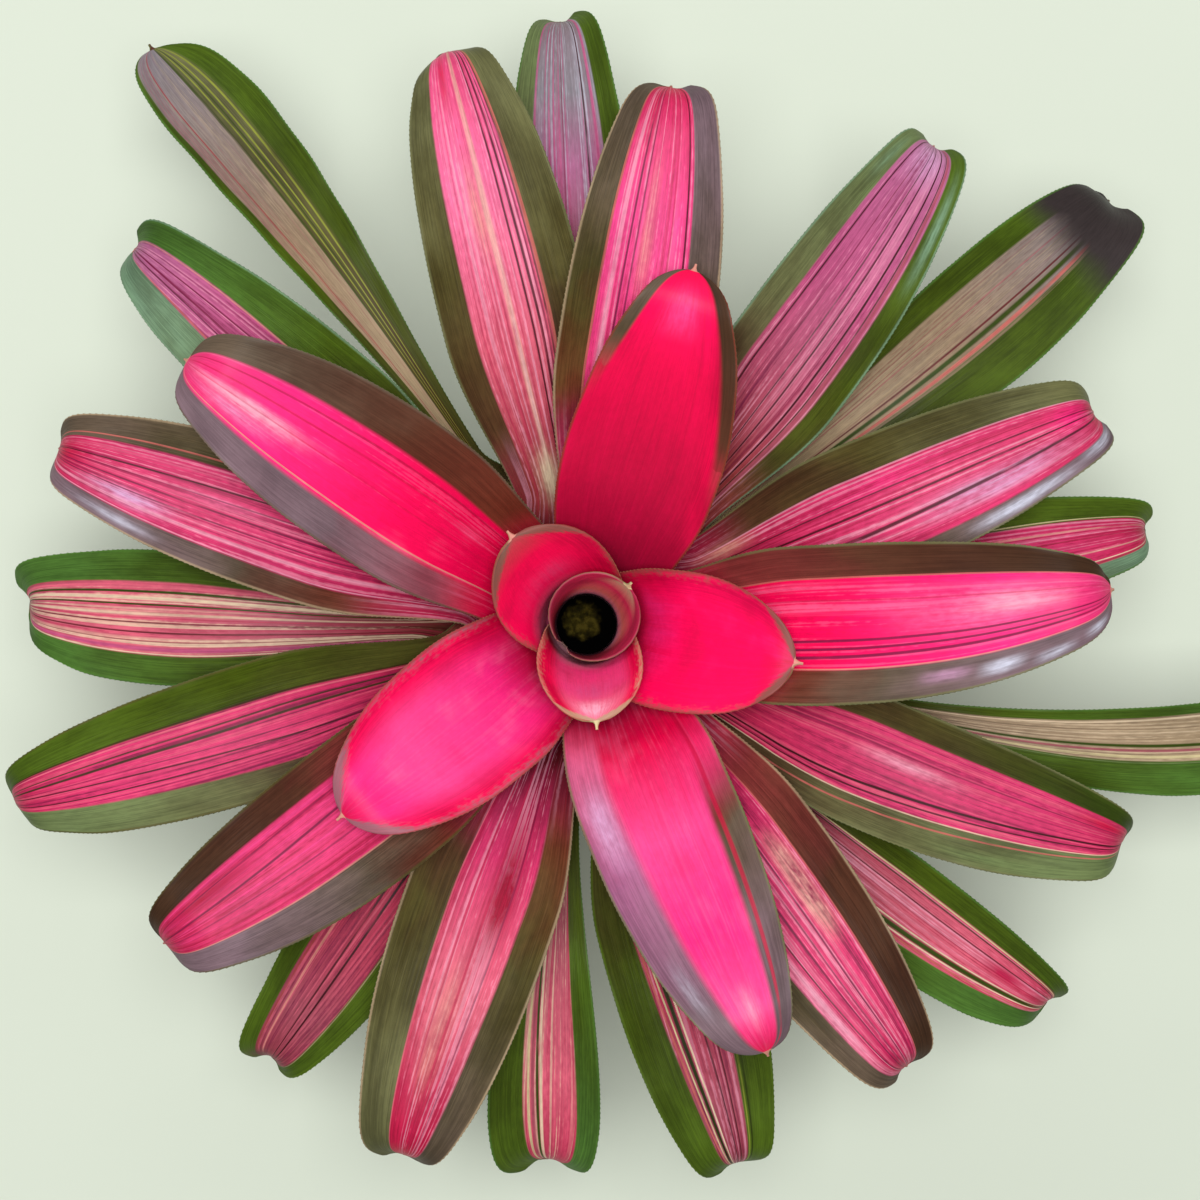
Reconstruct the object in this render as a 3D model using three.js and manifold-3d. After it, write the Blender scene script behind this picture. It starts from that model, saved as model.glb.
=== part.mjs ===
// A potted neoregelia bromeliad, in millimetres, +Z up, with its origin on the floor under the plant's axis.
// Strap leaves stand round a short stem in a spiral. The youngest is rolled into the tube that holds water,
// and each older leaf leaves the stem lower, lies outside the one before and spreads flatter.
import * as THREE from "three";
import { mergeVertices } from "three/addons/utils/BufferGeometryUtils.js";
import Module from "manifold-3d";

const wasm = await Module();
wasm.setup();

// Pot and potting mix
const potHeight = 105;
const potTopRadius = 60;
const potBaseRadius = 44;
const potWall = 2.4;
const potRimHeight = 14;
const potRimOut = 3;
const potRimEdge = 1;
const potFloorUnder = 2.5;
const potFloorThickness = 3;
const footRingWidth = 4;
const footBossRadius = 16;
const drainHoleRadius = 4.5;
const drainHoleCount = 6;
const drainHoleCircle = 28;
const drainHoleSides = 16;
const mixTop = 97;
const mixMound = 3.5;
const mixGrain = 1.1;
const mixGrainWaves = [0.9, 0.8, 0.37, 0.51];
const mixRings = 5;
const roundSides = 40;

// Stem
const stemBottom = 70;
const stemTaperStart = 101;
const stemTop = 152;
const stemBottomRadius = 12;
const stemTopRadius = 7;
const stemShoulder = 2;
const stemSides = 24;
const seatGap = 0.3;

// Rosette
const leafThickness = 0.9;
const lowestLeafBase = 104.6;
const leafBasePitch = 1.6;
const waterTop = 174;
const waterClearance = 1.2;
const waterRingStep = 12;
const spineLength = 4;
const spineBaseHalfWidth = 1.1;

// One entry a leaf, youngest first.
// azimuth: degrees from +X, anticlockwise, of the midrib where it leaves the stem.
// sweep: degrees that the tip swings further round.
// reach: from the axis to the tip, seen from above.
// width: the blade's greatest width.
// neck: the blade's narrow part, as a share of that width.
// curl: degrees that the tip bends down.
// widest: where the blade is widest, as a share of its length.
// taper: the power of the tip's curve, lower for a more pointed tip.
// roll: degrees that the blade turns about its midrib.
// ears: how far the left and the right margin stand out past the midrib where the tip curls down.
const leaves = [
  { azimuth: 43, reach: 20.5, width: 70, neck: 1, curl: 0, widest: 0.1, taper: 1.1 },
  { azimuth: -84, reach: 34.6, width: 47, neck: 1, curl: 25, widest: 0.42 },
  { azimuth: 130, reach: 41, width: 59, neck: 1, curl: 25, widest: 0.35 },
  { azimuth: -10, reach: 75, width: 57, neck: 0.94, curl: 25, widest: 0.4 },
  { azimuth: -142, reach: 108, width: 61, neck: 0.8, curl: 42, widest: 0.48 },
  { azimuth: 70, sweep: 3, reach: 130, width: 61, neck: 0.75, curl: 52, taper: 2 },
  { azimuth: -69, sweep: 2, reach: 161, width: 59, neck: 0.74, curl: 62, widest: 0.4 },
  { azimuth: 144.9, sweep: 1.5, reach: 168, width: 61, neck: 0.7, curl: 68 },
  { azimuth: -1.1, sweep: 5, reach: 185.5, width: 60, neck: 0.68, curl: 68, widest: 0.4, ears: [-4, 1] },
  { azimuth: -139, sweep: -4, reach: 188, width: 57, neck: 0.64, curl: 72, ears: [0.5, 0] },
  { azimuth: 80, sweep: 1, reach: 195, width: 56, neck: 0.6, curl: 72, ears: [1, 5] },
  { azimuth: -54, reach: 196.5, width: 54, neck: 0.58, curl: 72, ears: [1.5, 5] },
  { azimuth: 161.5, reach: 201.5, width: 52, neck: 0.56, curl: 72, ears: [1, 2] },
  { azimuth: 21.8, sweep: 1, reach: 200.5, width: 52, neck: 0.56, curl: 72, ears: [1, 5.5] },
  { azimuth: -111, sweep: 2, reach: 205, width: 57, neck: 0.56, curl: 72, ears: [0, 5] },
  { azimuth: 102.6, sweep: 1, reach: 216, width: 55, neck: 0.54, curl: 72, ears: [-7, -1.5] },
  { azimuth: -27, sweep: 5, reach: 213, width: 49, neck: 0.54, curl: 72, ears: [1, 1] },
  { azimuth: -162, sweep: -1, reach: 221, width: 50, neck: 0.52, curl: 68, ears: [-5.5, 0] },
  { azimuth: 51.5, sweep: 2.5, reach: 219, width: 50, neck: 0.5, curl: 62, ears: [3.5, 6] },
  { azimuth: -74.6, reach: 208.5, width: 54, neck: 0.5, curl: 68, ears: [1.5, 3] },
  { azimuth: 140.3, reach: 219.3, width: 48, neck: 0.5, curl: 62, ears: [-1, 8] },
  { azimuth: 9.5, reach: 212.5, width: 42, neck: 0.5, curl: 62, ears: [6, 1] },
  { azimuth: -126, reach: 202, width: 46, neck: 0.5, curl: 68, ears: [3, 8] },
  { azimuth: 91.7, sweep: 0.8, reach: 227.4, width: 46, neck: 0.5, curl: 62, ears: [1, 7] },
  { azimuth: -44, sweep: 4.5, reach: 225.8, width: 40, neck: 0.48, curl: 62, widest: 0.62, ears: [4, -1] },
  { azimuth: 180, sweep: -2, reach: 212, width: 50, neck: 0.5, curl: 60, widest: 0.65, ears: [-2, 9] },
  { azimuth: 36, sweep: 3, reach: 256, width: 48, neck: 0.45, curl: 56, widest: 0.65, ears: [-4, 8] },
  { azimuth: -96.7, sweep: 2.5, reach: 205.6, width: 42, neck: 0.25, curl: 60, widest: 0.82, ears: [3, 6] },
  { azimuth: 124.6, sweep: 2.5, reach: 275, width: 38, neck: 0.22, curl: 15, widest: 0.82, roll: 18 },
  { azimuth: -17.5, sweep: 9.7, reach: 276, width: 36, neck: 0.22, curl: 52, widest: 0.85, ears: [2, 2] },
];

// How a leaf's rise and form change with its rank, from 1 for the youngest to 30 for the oldest, as
// [rank, value] stops.
const waistRadiusByRank = [[1, 11.4], [2, 13.8], [3, 15.6], [30, 52]];
const baseAngleByRank = [[1, 12], [4, 12], [30, 4]];
const waistAngleByRank = [[1, 88], [3, 84], [6, 68], [12, 56], [30, 40]];
const uprightByRank = [[1, 20], [2, 20], [3, 17], [4, 9], [5, 2], [6, 0]];
const tipAngleByRank = [[1, 60], [2, 40], [4, 26], [6, 20], [8, 12], [10, 4], [14, -4], [22, -12], [30, -18]];
const wrapByRank = [[1, 172], [2, 105], [3, 92], [4, 80], [5, 66]];
const channelByRank = [[1, 0], [4, 1.5], [6, 4], [9, 6.5], [30, 6]];

// Shares of the blade's length, from 0 at the waist to 1 at the tip, and the powers of its curves.
const usualWidest = 0.47;
const neckAt = 0.14;
const broadensFrom = 0.1;
const curlStart = 0.87;
const bendPower = 1.8;
const usualTaper = 2.3;
const channelPower = 2.2;
const channelNarrowPower = 1.5;
const channelFrom = 0.05;
const channelTo = 0.4;
const rollFrom = 0.1;
const rollTo = 0.8;
const earsFrom = 0.8;
const earsTo = 0.96;
const earsEnd = 0.985;
const earsNarrowPower = 0.45;

// Facets
const midribSteps = 240;
const bladeStops = [0.09, 0.2, 0.34, 0.5, 0.65, 0.77, 0.86, 0.92, 0.96, 0.985, 1];
const tipSpan = 0.015;
const columnsByRank = [[1, 16], [4, 8], [6, 6]];

const radians = THREE.MathUtils.degToRad;
const smooth = THREE.MathUtils.smoothstep;
const mix = THREE.MathUtils.lerp;

// The value at x of the line through the [x, value] stops, level past its last stop.
function along(stops, x) {
  for (let i = 1; i < stops.length; i++) {
    const [x0, y0] = stops[i - 1];
    const [x1, y1] = stops[i];
    if (x <= x1) return mix(y0, y1, (x - x0) / (x1 - x0));
  }
  return stops.at(-1)[1];
}

const stemRadiusAt = (z) =>
  mix(stemBottomRadius, stemTopRadius, Math.max(0, z - stemTaperStart) / (stemTop - stemTaperStart));

// The midrib as evenly spaced stations: distance from the axis, height and angle of rise.
function midribOf(leaf, rank) {
  const baseZ = lowestLeafBase + (leaves.length - rank) * leafBasePitch;
  const baseR = stemRadiusAt(baseZ) + seatGap + leafThickness / 4;
  const waistR = along(waistRadiusByRank, rank);
  const baseAngle = radians(along(baseAngleByRank, rank));
  const waistAngle = radians(along(waistAngleByRank, rank));
  const tipAngle = radians(along(tipAngleByRank, rank));
  const upright = along(uprightByRank, rank);
  const sheath = ((waistR - baseR) * (waistAngle - baseAngle)) / (Math.sin(waistAngle) - Math.sin(baseAngle));

  const bladeAngle = (q) =>
    mix(waistAngle, tipAngle, 1 - (1 - q) ** bendPower) - radians(leaf.curl) * smooth(q, curlStart, 1);
  let run = 0;
  for (let i = 0; i < midribSteps; i++) run += Math.cos(bladeAngle((i + 0.5) / midribSteps)) / midribSteps;
  const blade = (leaf.reach - waistR - upright * Math.cos(waistAngle)) / run;

  const length = sheath + upright + blade;
  const angleAt = (s) => {
    if (s < sheath) return mix(baseAngle, waistAngle, s / sheath);
    if (s < sheath + upright) return waistAngle;
    return bladeAngle(Math.min(1, (s - sheath - upright) / blade));
  };
  const stations = [];
  let r = baseR;
  let z = baseZ;
  const step = length / midribSteps;
  for (let i = 0; i <= midribSteps; i++) {
    stations.push({ r, z, angle: angleAt(i * step) });
    const next = angleAt((i + 0.5) * step);
    r += Math.cos(next) * step;
    z += Math.sin(next) * step;
  }
  return { stations, sheath, upright, blade, length };
}

// The station at arc length s, between its two neighbours.
function stationAt(midrib, s) {
  const x = (s / midrib.length) * (midrib.stations.length - 1);
  const i = Math.min(Math.floor(x), midrib.stations.length - 2);
  const a = midrib.stations[i];
  const b = midrib.stations[i + 1];
  const t = x - i;
  return { r: mix(a.r, b.r, t), z: mix(a.z, b.z, t), angle: mix(a.angle, b.angle, t) };
}

// Half the blade's width at q, from 0 at the waist to 1 at the tip: sheath, neck, broad part, round tip.
function bladeHalfWidth(leaf, q) {
  const widest = leaf.widest ?? usualWidest;
  const body = mix(mix(1, leaf.neck, smooth(q, 0, neckAt)), 1, smooth(q, broadensFrom, widest));
  const x = Math.max(0, (q - widest) / (1 - widest));
  return (leaf.width / 2) * body * Math.sqrt(Math.max(0, 1 - x ** (leaf.taper ?? usualTaper)));
}

// A point of the leaf: s along it, v from -1 at its right margin to 1 at its left one, lift off its middle.
function leafPoint(leaf, rank, midrib, s, v, lift) {
  const at = stationAt(midrib, s);
  const q = Math.max(0, (s - midrib.sheath - midrib.upright) / midrib.blade);
  const wrap = radians(along(wrapByRank, rank));
  const halfWidth = Math.max(spineBaseHalfWidth, Math.min(at.r * wrap, bladeHalfWidth(leaf, q)));
  const share = halfWidth / (leaf.width / 2);
  const channel = along(channelByRank, rank) * smooth(q, channelFrom, channelTo);
  const side = v * halfWidth;
  const rise = channel * share ** channelNarrowPower * Math.abs(v) ** channelPower;
  const roll = radians(leaf.roll ?? 0) * smooth(q, rollFrom, rollTo);
  const across = side * Math.cos(roll) - rise * Math.sin(roll);
  const up = rise * Math.cos(roll) + side * Math.sin(roll) + lift;
  const heading = radians(leaf.azimuth + (leaf.sweep ?? 0) * q * q) + across / at.r;
  const [leftEar, rightEar] = leaf.ears ?? [0, 0];
  const earShare = smooth(q, earsFrom, earsTo) * (1 - smooth(q, earsEnd, 1)) * share ** earsNarrowPower;
  const flare = (v > 0 ? leftEar : rightEar) * Math.abs(v) ** channelPower * earShare;
  const r = at.r - Math.sin(at.angle) * up + flare;
  return new THREE.Vector3(r * Math.cos(heading), r * Math.sin(heading), at.z + Math.cos(at.angle) * up);
}

// The leaf as one closed solid: an upper and a lower sheet, joined round the edge, and a spine at the tip.
function leafGeometry(leaf, rank) {
  const midrib = midribOf(leaf, rank);
  const columns = Math.round(along(columnsByRank, rank));
  const waist = midrib.sheath + midrib.upright;
  const rows = [0, midrib.sheath * 0.5, midrib.sheath, ...bladeStops.map((q) => waist + q * midrib.blade)];
  const points = [];
  const sheet = (lift) => {
    const first = points.length;
    for (const s of rows)
      for (let j = 0; j <= columns; j++)
        points.push(leafPoint(leaf, rank, midrib, s, (2 * j) / columns - 1, lift));
    return first;
  };
  const upper = sheet(leafThickness / 2);
  const lower = sheet(-leafThickness / 2);
  const tip = leafPoint(leaf, rank, midrib, midrib.length, 0, 0);
  const before = leafPoint(leaf, rank, midrib, midrib.length * (1 - tipSpan), 0, 0);
  const spine = points.push(tip.clone().add(tip.clone().sub(before).setLength(spineLength))) - 1;

  const faces = [];
  const at = (first, i, j) => first + i * (columns + 1) + j;
  const quad = (a, b, c, d) => faces.push(a, b, c, a, c, d);
  const lastRow = rows.length - 1;
  for (let i = 0; i < lastRow; i++) {
    for (let j = 0; j < columns; j++) {
      quad(at(upper, i, j), at(upper, i + 1, j), at(upper, i + 1, j + 1), at(upper, i, j + 1));
      quad(at(lower, i, j), at(lower, i, j + 1), at(lower, i + 1, j + 1), at(lower, i + 1, j));
    }
    quad(at(upper, i, 0), at(lower, i, 0), at(lower, i + 1, 0), at(upper, i + 1, 0));
    quad(at(upper, i, columns), at(upper, i + 1, columns), at(lower, i + 1, columns), at(lower, i, columns));
  }
  for (let j = 0; j < columns; j++) {
    quad(at(upper, 0, j), at(upper, 0, j + 1), at(lower, 0, j + 1), at(lower, 0, j));
    faces.push(at(upper, lastRow, j), spine, at(upper, lastRow, j + 1));
    faces.push(at(lower, lastRow, j), at(lower, lastRow, j + 1), spine);
  }
  faces.push(at(upper, lastRow, 0), at(lower, lastRow, 0), spine);
  faces.push(at(upper, lastRow, columns), spine, at(lower, lastRow, columns));
  return new THREE.BufferGeometry().setFromPoints(points).setIndex(faces);
}

function solid(geometry) {
  const bare = geometry.clone();
  bare.deleteAttribute("normal");
  bare.deleteAttribute("uv");
  const merged = mergeVertices(bare, 1e-3);
  return new wasm.Manifold(
    new wasm.Mesh({
      numProp: 3,
      vertProperties: merged.attributes.position.array,
      triVerts: new Uint32Array(merged.index.array),
    }),
  );
}

function geometryOf(body) {
  const mesh = body.getMesh();
  const position = new THREE.BufferAttribute(new Float32Array(mesh.vertProperties), 3);
  return new THREE.BufferGeometry()
    .setAttribute("position", position)
    .setIndex(new THREE.BufferAttribute(mesh.triVerts, 1));
}

// A closed profile of [radius, height] corners turned about +Z.
function turned(profile, sides) {
  const corners = profile.map(([r, z]) => new THREE.Vector2(r, z));
  return new THREE.LatheGeometry(corners, sides).rotateX(Math.PI / 2);
}

const potInnerRadiusAt = (z) => mix(potBaseRadius, potTopRadius, z / potHeight) - potWall;

function potGeometry() {
  const floorTop = potFloorUnder + potFloorThickness;
  const rimBottom = potHeight - potRimHeight;
  const outerAt = (z) => mix(potBaseRadius, potTopRadius, z / potHeight);
  const profile = [
    [0, 0],
    [footBossRadius, 0],
    [footBossRadius, potFloorUnder],
    [potBaseRadius - footRingWidth, potFloorUnder],
    [potBaseRadius - footRingWidth, 0],
    [potBaseRadius, 0],
    [outerAt(rimBottom), rimBottom],
    [outerAt(rimBottom) + potRimOut, rimBottom + potRimEdge],
    [potTopRadius + potRimOut, potHeight - potRimEdge],
    [potTopRadius + potRimOut - potRimEdge, potHeight],
    [potTopRadius - potWall, potHeight],
    [potInnerRadiusAt(floorTop), floorTop],
    [0, floorTop],
  ];
  let pot = solid(turned(profile, roundSides));
  for (let i = 0; i < drainHoleCount; i++) {
    const angle = (2 * Math.PI * i) / drainHoleCount;
    const depth = 4 * potFloorThickness;
    const drill = new THREE.CylinderGeometry(drainHoleRadius, drainHoleRadius, depth, drainHoleSides);
    drill.rotateX(Math.PI / 2);
    drill.translate(drainHoleCircle * Math.cos(angle), drainHoleCircle * Math.sin(angle), floorTop);
    pot = pot.subtract(solid(drill));
  }
  return geometryOf(pot);
}

// The potting mix fills the pot to a rough mound, with a plain socket for the stem.
function mixGeometry() {
  const bottom = potFloorUnder + potFloorThickness + seatGap;
  const edgeR = potInnerRadiusAt(mixTop) - seatGap;
  const socketR = stemBottomRadius + seatGap;
  const socketFloor = stemBottom - seatGap;
  const profile = [[0, bottom], [potInnerRadiusAt(bottom) - seatGap, bottom]];
  for (let i = 0; i <= mixRings; i++) {
    const r = mix(edgeR, socketR, i / mixRings);
    profile.push([r, mixTop + mixMound * (1 - (r / edgeR) ** 2)]);
  }
  profile.push([socketR, socketFloor], [0, socketFloor]);
  const geometry = turned(profile, roundSides);
  const position = geometry.attributes.position;
  for (let i = 0; i < position.count; i++) {
    const x = position.getX(i);
    const y = position.getY(i);
    const z = position.getZ(i);
    const r = Math.hypot(x, y);
    if (z < mixTop - 1 || r < socketR + 1 || r > edgeR - 1) continue;
    const [a, b, c, d] = mixGrainWaves;
    const grain = Math.sin(x * a) * Math.cos(y * b) + Math.sin(x * c - y * d);
    position.setZ(i, z + mixGrain * grain);
  }
  return geometry;
}

function stemGeometry() {
  return turned(
    [
      [0, stemBottom],
      [stemBottomRadius - stemShoulder, stemBottom],
      [stemBottomRadius, stemBottom + stemShoulder],
      [stemBottomRadius, stemTaperStart],
      [stemRadiusAt(stemTop - stemShoulder), stemTop - stemShoulder],
      [stemTopRadius - stemShoulder, stemTop],
      [0, stemTop],
    ],
    stemSides,
  );
}

// Water stands in the rolled youngest leaf, clear of it by the seat gap all round.
function waterGeometry() {
  const midrib = midribOf(leaves[0], 1);
  const profile = [[0, stemTop + seatGap]];
  for (const { r, z } of midrib.stations.filter((_, i) => i % waterRingStep === 0)) {
    if (z < stemTop + 1 || z > waterTop - 1) continue;
    profile.push([r - waterClearance, z]);
  }
  profile.push([along(waistRadiusByRank, 1) - waterClearance, waterTop], [0, waterTop]);
  return turned(profile, stemSides);
}

const finish = (color, roughness) => new THREE.MeshStandardMaterial({ color, roughness, metalness: 0 });
const finishes = {
  youngLeaf: finish(0xe8125e, 0.4),
  middleLeaf: finish(0xd13a72, 0.4),
  oldLeaf: finish(0x7d7a4a, 0.45),
  stem: finish(0x9a8f66, 0.7),
  pot: finish(0x3a3d3f, 0.55),
  mix: finish(0x4a3424, 0.95),
  water: finish(0x1a1c12, 0.05),
};

const plant = new THREE.Group();
function add(name, geometry, material) {
  const mesh = new THREE.Mesh(geometry, material);
  mesh.name = name;
  plant.add(mesh);
}

add("pot", potGeometry(), finishes.pot);
add("potting_mix", mixGeometry(), finishes.mix);
add("stem", stemGeometry(), finishes.stem);
add("tank_water", waterGeometry(), finishes.water);
leaves.forEach((leaf, i) => {
  const rank = i + 1;
  const material = rank <= 7 ? finishes.youngLeaf : rank <= 16 ? finishes.middleLeaf : finishes.oldLeaf;
  add("leaf_" + String(rank).padStart(2, "0"), leafGeometry(leaf, rank), material);
});

export default plant;
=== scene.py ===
# Potted neoregelia: fine leaves, stem, water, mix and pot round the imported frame, in metres, +Z up.
import math
import random

import bpy
import numpy as np
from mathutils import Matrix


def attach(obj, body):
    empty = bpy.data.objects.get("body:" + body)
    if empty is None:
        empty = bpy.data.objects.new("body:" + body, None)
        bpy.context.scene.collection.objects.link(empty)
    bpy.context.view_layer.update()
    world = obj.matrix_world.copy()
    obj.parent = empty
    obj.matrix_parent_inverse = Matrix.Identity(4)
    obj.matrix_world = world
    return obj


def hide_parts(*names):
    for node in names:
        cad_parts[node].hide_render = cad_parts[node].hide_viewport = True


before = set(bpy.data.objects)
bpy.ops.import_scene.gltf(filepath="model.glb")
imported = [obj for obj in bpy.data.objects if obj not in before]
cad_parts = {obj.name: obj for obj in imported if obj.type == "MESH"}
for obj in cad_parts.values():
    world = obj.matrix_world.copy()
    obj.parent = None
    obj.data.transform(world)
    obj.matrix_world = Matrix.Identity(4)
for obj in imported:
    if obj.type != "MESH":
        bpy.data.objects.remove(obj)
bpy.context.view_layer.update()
bpy.ops.object.select_all(action="DESELECT")
print("frame:", len(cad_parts), "nodes")

palette = {
    "oxblood": "#601820", "maroon": "#882838", "brick": "#a04040", "cherry": "#a81038",
    "crimson": "#c81040", "scarlet": "#e80848", "hotPink": "#ff0858", "magenta": "#f82880",
    "candy": "#f84890", "bubblegum": "#f870a0", "petal": "#f0a0b8", "carmine": "#c02850", "rose": "#e03870",
    "coral": "#e86880", "orchid": "#c05080", "mallow": "#b06890", "lilac": "#d8a0c8", "mist": "#c8c8d8",
    "dustyRose": "#a85060", "salmon": "#c86860", "peach": "#d89080", "cream": "#e8d0b0", "bone": "#d8c898",
    "sand": "#b09878", "taupe": "#988068", "pewter": "#888088", "rust": "#803828", "umber": "#603828",
    "walnut": "#483020", "mocha": "#685848", "heather": "#806870", "soot": "#383030", "olive": "#585028",
    "khaki": "#707048", "forest": "#384810", "pine": "#485810", "leafGreen": "#506818", "fern": "#507830",
    "sage": "#708050", "seaGreen": "#789878", "lime": "#909838", "inkRed": "#401018", "plum": "#781840",
    "inkGreen": "#283008",
}

# how a leaf's middle changes colour on its way from the stem to its tip
coreTones = {
    # painted light: tube, lobe and ember begin pale near the stem to brighten the deep shade in the
    # rosette's middle
    "tube": [(0.5, "petal"), (0.7, "salmon"), (0.85, "carmine"), (1, "sand")],
    "lobe": [(0.3, "petal"), (0.6, "rose"), (0.8, "rose"), (1, "coral")],
    "ember": [(0.35, "bubblegum"), (0.6, "hotPink"), (0.85, "scarlet"), (1, "brick")],
    "hot": [(0.25, "crimson"), (0.5, "hotPink"), (0.88, "hotPink"), (1, "crimson")],
    "deep": [(0.2, "cherry"), (0.5, "crimson"), (0.78, "scarlet"), (0.92, "hotPink"), (1, "scarlet")],
    "candy": [(0.22, "crimson"), (0.42, "magenta"), (0.75, "candy"), (0.92, "magenta"), (1, "crimson")],
    "glow": [(0.22, "cherry"), (0.34, "scarlet"), (0.55, "candy"), (0.75, "magenta"), (0.9, "candy"),
             (1, "scarlet")],
    "flare": [(0.25, "scarlet"), (0.5, "hotPink"), (0.8, "magenta"), (1, "rose")],
    "pink": [(0.35, "rose"), (0.75, "candy"), (0.9, "rose"), (1, "crimson")],
    "berry": [(0.3, "carmine"), (0.55, "rose"), (0.8, "rose"), (1, "carmine")],
    "ripe": [(0.25, "oxblood"), (0.45, "rose"), (0.7, "coral"), (0.85, "carmine"), (1, "crimson")],
    "blushed": [(0.25, "brick"), (0.5, "coral"), (0.75, "bubblegum"), (1, "rose")],
    "wine": [(0.35, "brick"), (0.6, "carmine"), (0.85, "dustyRose"), (1, "maroon")],
    "mauve": [(0.35, "brick"), (0.7, "orchid"), (1, "mallow")],
    "blossom": [(0.5, "dustyRose"), (0.8, "coral"), (1, "carmine")],
    "ash": [(0.5, "dustyRose"), (0.72, "mallow"), (0.84, "pewter"), (1, "heather")],
    "ribbon": [(0.25, "umber"), (0.5, "dustyRose"), (0.8, "coral"), (1, "dustyRose")],
    "fawn": [(0.35, "sand"), (0.65, "taupe"), (1, "pewter")],
    "straw": [(0.4, "taupe"), (1, "sand")],
}

# and its margins: near the waist, at mid length and near the tip
marginTones = {
    "flame": ("crimson", "scarlet", "scarlet"),
    "fire": ("scarlet", "hotPink", "hotPink"),
    "blood": ("maroon", "maroon", "carmine"),
    "brown": ("brick", "umber", "walnut"),
    "hide": ("rust", "umber", "mocha"),
    "cocoa": ("rust", "mocha", "heather"),
    "dusk": ("dustyRose", "heather", "heather"),
    "tan": ("rust", "olive", "mocha"),
    "mauve": ("bubblegum", "mallow", "heather"),
    "olive": ("umber", "olive", "khaki"),
    "dark": ("umber", "olive", "forest"),
    "moss": ("umber", "khaki", "sage"),
    "sage": ("khaki", "sage", "seaGreen"),
    "green": ("olive", "pine", "leafGreen"),
    "fern": ("olive", "leafGreen", "fern"),
}


def tone(name):
    # a palette name or a hex colour as linear red, green, blue and 1
    text = palette.get(name, name).lstrip("#")
    parts = [int(text[i:i + 2], 16) / 255 for i in (0, 2, 4)]
    return [c / 12.92 if c <= 0.04045 else ((c + 0.055) / 1.055) ** 2.4 for c in parts] + [1]


class Wire:
    # a node socket that works in sums, such as 1 - mask * 0.5
    def __init__(self, finish, socket):
        self.finish = finish
        self.socket = socket

    def sum(self, operation, *terms):
        return self.finish.node("ShaderNodeMath", {"operation": operation}, dict(enumerate(terms)))

    def __add__(self, other):
        return self.sum("ADD", self, other)

    def __sub__(self, other):
        return self.sum("SUBTRACT", self, other)

    def __rsub__(self, other):
        return self.sum("SUBTRACT", other, self)

    def __mul__(self, other):
        return self.sum("MULTIPLY", self, other)

    def __abs__(self):
        return self.sum("ABSOLUTE", self)

    __radd__ = __add__
    __rmul__ = __mul__


class Finish:
    # a material with a Principled shader, and short ways to add nodes to it
    def __init__(self, name, **constants):
        self.material = bpy.data.materials.new(name)
        self.material.use_nodes = True
        self.tree = self.material.node_tree
        self.tree.nodes.clear()
        self.shader = self.tree.nodes.new("ShaderNodeBsdfPrincipled")
        output = self.tree.nodes.new("ShaderNodeOutputMaterial")
        self.tree.links.new(self.shader.outputs[0], output.inputs[0])
        self.wear(**constants)

    def put(self, socket, value):
        if isinstance(value, Wire):
            self.tree.links.new(value.socket, socket)
        else:
            socket.default_value = value

    def node(self, kind, settings, inputs, output=0):
        made = self.tree.nodes.new(kind)
        for name, value in settings.items():
            if name == "stops":
                self.setStops(made.color_ramp, value)
            else:
                setattr(made, name, value)
        for name, value in inputs.items():
            self.put(made.inputs[name], value)
        return Wire(self, made.outputs[output])

    def setStops(self, ramp, stops):
        while len(ramp.elements) < len(stops):
            ramp.elements.new(1)
        for element, (place, name) in zip(ramp.elements, stops):
            element.position = place
            element.color = tone(name)

    def wear(self, **sockets):
        for name, value in sockets.items():
            self.put(self.shader.inputs[name.replace("_", " ")], value)

    def rise(self, x, low, high, kind="SMOOTHSTEP"):
        # 0 below low and 1 above high; with low above high, the other way round
        return self.node("ShaderNodeMapRange", {"interpolation_type": kind}, {0: x, 1: low, 2: high})

    def blend(self, amount, first, second):
        ends = [tone(c) if isinstance(c, str) else c for c in (first, second)]
        settings = {"data_type": "RGBA", "clamp_factor": True}
        return self.node("ShaderNodeMix", settings, {0: amount, 6: ends[0], 7: ends[1]}, 2)

    def multiply(self, first, second):
        settings = {"data_type": "RGBA", "blend_type": "MULTIPLY"}
        return self.node("ShaderNodeMix", settings, {0: 1, 6: first, 7: second}, 2)

    def ramp(self, x, stops):
        return self.node("ShaderNodeValToRGB", {"stops": stops}, {0: x})

    def vector(self, x, y, z):
        return self.node("ShaderNodeCombineXYZ", {}, {0: x, 1: y, 2: z})

    def part(self, vector, axis):
        return self.node("ShaderNodeSeparateXYZ", {}, {"Vector": vector}, axis)

    def objectPlace(self):
        return self.node("ShaderNodeTexCoord", {}, {}, 3)

    def noise(self, place, scale=1, detail=2, roughness=0.5):
        return self.node("ShaderNodeTexNoise", {}, {
            "Vector": place, "Scale": scale, "Detail": detail, "Roughness": roughness})

    def bump(self, height, distance, strength=1):
        normal = self.node("ShaderNodeBump", {}, {
            "Height": height, "Distance": distance, "Strength": strength})
        self.wear(Normal=normal)


def activate(piece):
    bpy.ops.object.select_all(action="DESELECT")
    piece.select_set(True)
    bpy.context.view_layer.objects.active = piece


def applyModifiers(piece):
    activate(piece)
    for modifier in list(piece.modifiers):
        bpy.ops.object.modifier_apply(modifier=modifier.name)


def place(piece, name, slot, finish, *nodes):
    # names the finished piece, gives it its material and fixes it to the frame
    piece.name = name
    piece.data.name = name
    piece.data.materials.clear()
    piece.data.materials.append(finish.material)
    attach(piece, "root")
    if nodes:
        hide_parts(*nodes)


def smooth(x, low, high):
    t = np.clip((x - low) / (high - low), 0, 1)
    return t * t * (3 - 2 * t)


def along(stops, x):
    return float(np.interp(x, *zip(*stops)))


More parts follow.
